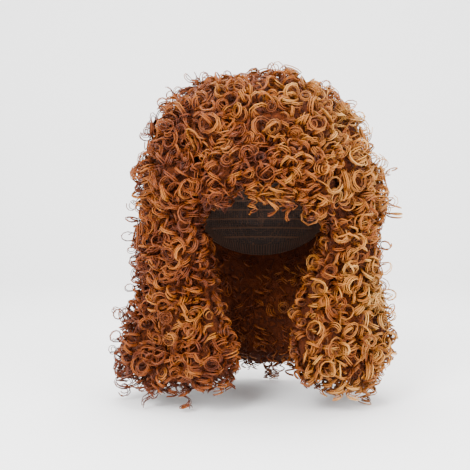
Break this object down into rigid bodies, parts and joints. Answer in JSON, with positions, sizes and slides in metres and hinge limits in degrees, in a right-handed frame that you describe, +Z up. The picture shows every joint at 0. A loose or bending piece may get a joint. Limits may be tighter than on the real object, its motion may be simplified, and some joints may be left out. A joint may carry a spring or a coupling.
{
  "type": "long curly wig",
  "caption": "Long auburn party wig of tight spiral curls with a full crown and a wispy fringe, sewn to a stretch net cap with an elastic edge band.",
  "frame": {"origin": "inside of the cap's crown, where the top of the wearer's head touches it", "axes": "+Z up out of the crown, -Y the way the wearer faces, +X towards the wearer's left"},
  "size_m": [0.3633, 0.2837, 0.3947],
  "materials": {
    "stretch_net": "open knitted stretch net, dark brown",
    "elastic_band": "ribbed woven elastic, dark brown",
    "curled_hair": "synthetic fibre in spiral curls, auburn with caramel highlights and dark red-brown depths"
  },
  "bodies": {
    "root": {"cap_net": "stretch_net", "cap_band": "elastic_band", "crown_locks": "curled_hair", "fringe_locks": "curled_hair", "temple_locks_right": "curled_hair", "temple_locks_left": "curled_hair", "back_locks": "curled_hair", "curtain_locks_right": "curled_hair", "curtain_locks_left": "curled_hair", "nape_locks": "curled_hair"}
  },
  "joints": []
}
